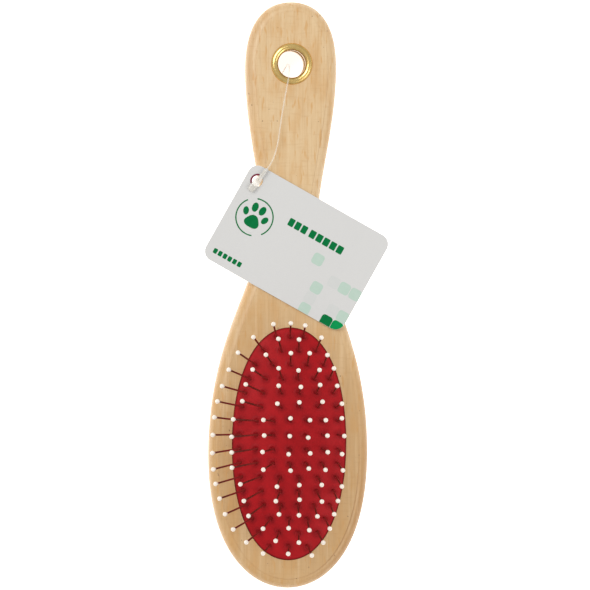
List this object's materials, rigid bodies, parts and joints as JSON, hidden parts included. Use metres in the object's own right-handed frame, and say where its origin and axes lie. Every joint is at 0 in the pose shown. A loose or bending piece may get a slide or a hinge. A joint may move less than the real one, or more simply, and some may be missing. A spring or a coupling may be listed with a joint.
{
  "type": "pin brush",
  "caption": "Oval wooden pin brush for pet grooming, with ball-tipped wire pins in a domed rubber cushion, an eyeletted hanging hole and a swing tag.",
  "frame": {"origin": "middle of the brush's footprint, on the plane of the back of the head", "axes": "+Z the way the pins point, +Y towards the end of the handle, +X to the right with the handle up and the pins facing the viewer"},
  "size_m": [0.0703, 0.225, 0.0353],
  "materials": {
    "wood": "clear satin lacquer over pale straight-grained hardwood",
    "brass": "bright rolled, lightly tarnished",
    "rubber": "matt moulded",
    "pin_wire": "dark coated wire",
    "pin_tip": "glossy cream",
    "card": "stiff printed card, matt laminate",
    "clear_plastic": "clear moulded filament"
  },
  "bodies": {
    "brush": {"brush_body": "wood", "eyelet_front": "brass", "eyelet_back": "brass", "tag_loop": "clear_plastic", "tag_lock": "clear_plastic"},
    "cushion": {"cushion_pad": "rubber"},
    "tag": {"swing_tag": "card"},
    "pin_row_01": {"pins_row_01": "pin_wire", "tips_row_01": "pin_tip"},
    "pin_row_02": {"pins_row_02": "pin_wire", "tips_row_02": "pin_tip"},
    "pin_row_03": {"pins_row_03": "pin_wire", "tips_row_03": "pin_tip"},
    "pin_row_04": {"pins_row_04": "pin_wire", "tips_row_04": "pin_tip"},
    "pin_row_05": {"pins_row_05": "pin_wire", "tips_row_05": "pin_tip"},
    "pin_row_06": {"pins_row_06": "pin_wire", "tips_row_06": "pin_tip"},
    "pin_row_07": {"pins_row_07": "pin_wire", "tips_row_07": "pin_tip"},
    "pin_row_08": {"pins_row_08": "pin_wire", "tips_row_08": "pin_tip"},
    "pin_row_09": {"pins_row_09": "pin_wire", "tips_row_09": "pin_tip"},
    "pin_row_10": {"pins_row_10": "pin_wire", "tips_row_10": "pin_tip"},
    "pin_row_11": {"pins_row_11": "pin_wire", "tips_row_11": "pin_tip"},
    "pin_row_12": {"pins_row_12": "pin_wire", "tips_row_12": "pin_tip"},
    "pin_row_13": {"pins_row_13": "pin_wire", "tips_row_13": "pin_tip"},
    "pin_row_14": {"pins_row_14": "pin_wire", "tips_row_14": "pin_tip"},
    "pin_row_15": {"pins_row_15": "pin_wire", "tips_row_15": "pin_tip"},
    "pin_row_16": {"pins_row_16": "pin_wire", "tips_row_16": "pin_tip"}
  },
  "joints": [
    {"name": "cushion_press", "type": "slide", "parent": "brush", "child": "cushion", "axis": [0, 0, -1], "range_m": [0, 0.0025], "stiffness_N_per_m": 4000, "deforming": ["cushion_pad"]},
    {"name": "tag_swing", "type": "hinge", "parent": "brush", "child": "tag", "pos_m": [-0.01296, 0.0436, 0.01435], "axis": [0, 0, 1], "range_deg": [0, 30]},
    {"name": "row_01_flex", "type": "hinge", "parent": "cushion", "child": "pin_row_01", "pos_m": [0, -0.0163, 0.01526], "axis": [1, 0, 0], "range_deg": [-7, 7], "stiffness_Nm_per_rad": 0.01},
    {"name": "row_02_flex", "type": "hinge", "parent": "cushion", "child": "pin_row_02", "pos_m": [0, -0.0216, 0.01617], "axis": [1, 0, 0], "range_deg": [-7, 7], "stiffness_Nm_per_rad": 0.01},
    {"name": "row_03_flex", "type": "hinge", "parent": "cushion", "child": "pin_row_03", "pos_m": [0, -0.0269, 0.01688], "axis": [1, 0, 0], "range_deg": [-7, 7], "stiffness_Nm_per_rad": 0.01},
    {"name": "row_04_flex", "type": "hinge", "parent": "cushion", "child": "pin_row_04", "pos_m": [0, -0.0322, 0.01743], "axis": [1, 0, 0], "range_deg": [-7, 7], "stiffness_Nm_per_rad": 0.01},
    {"name": "row_05_flex", "type": "hinge", "parent": "cushion", "child": "pin_row_05", "pos_m": [0, -0.0375, 0.01785], "axis": [1, 0, 0], "range_deg": [-7, 7], "stiffness_Nm_per_rad": 0.01},
    {"name": "row_06_flex", "type": "hinge", "parent": "cushion", "child": "pin_row_06", "pos_m": [0, -0.0428, 0.01816], "axis": [1, 0, 0], "range_deg": [-7, 7], "stiffness_Nm_per_rad": 0.01},
    {"name": "row_07_flex", "type": "hinge", "parent": "cushion", "child": "pin_row_07", "pos_m": [0, -0.0481, 0.01837], "axis": [1, 0, 0], "range_deg": [-7, 7], "stiffness_Nm_per_rad": 0.01},
    {"name": "row_08_flex", "type": "hinge", "parent": "cushion", "child": "pin_row_08", "pos_m": [0, -0.0534, 0.01848], "axis": [1, 0, 0], "range_deg": [-7, 7], "stiffness_Nm_per_rad": 0.01},
    {"name": "row_09_flex", "type": "hinge", "parent": "cushion", "child": "pin_row_09", "pos_m": [0, -0.0587, 0.0185], "axis": [1, 0, 0], "range_deg": [-7, 7], "stiffness_Nm_per_rad": 0.01},
    {"name": "row_10_flex", "type": "hinge", "parent": "cushion", "child": "pin_row_10", "pos_m": [0, -0.064, 0.01842], "axis": [1, 0, 0], "range_deg": [-7, 7], "stiffness_Nm_per_rad": 0.01},
    {"name": "row_11_flex", "type": "hinge", "parent": "cushion", "child": "pin_row_11", "pos_m": [0, -0.0693, 0.01825], "axis": [1, 0, 0], "range_deg": [-7, 7], "stiffness_Nm_per_rad": 0.01},
    {"name": "row_12_flex", "type": "hinge", "parent": "cushion", "child": "pin_row_12", "pos_m": [0, -0.0746, 0.01798], "axis": [1, 0, 0], "range_deg": [-7, 7], "stiffness_Nm_per_rad": 0.01},
    {"name": "row_13_flex", "type": "hinge", "parent": "cushion", "child": "pin_row_13", "pos_m": [0, -0.0799, 0.0176], "axis": [1, 0, 0], "range_deg": [-7, 7], "stiffness_Nm_per_rad": 0.01},
    {"name": "row_14_flex", "type": "hinge", "parent": "cushion", "child": "pin_row_14", "pos_m": [0, -0.0852, 0.0171], "axis": [1, 0, 0], "range_deg": [-7, 7], "stiffness_Nm_per_rad": 0.01},
    {"name": "row_15_flex", "type": "hinge", "parent": "cushion", "child": "pin_row_15", "pos_m": [0, -0.0905, 0.01645], "axis": [1, 0, 0], "range_deg": [-7, 7], "stiffness_Nm_per_rad": 0.01},
    {"name": "row_16_flex", "type": "hinge", "parent": "cushion", "child": "pin_row_16", "pos_m": [0, -0.0958, 0.01562], "axis": [1, 0, 0], "range_deg": [-7, 7], "stiffness_Nm_per_rad": 0.01}
  ]
}
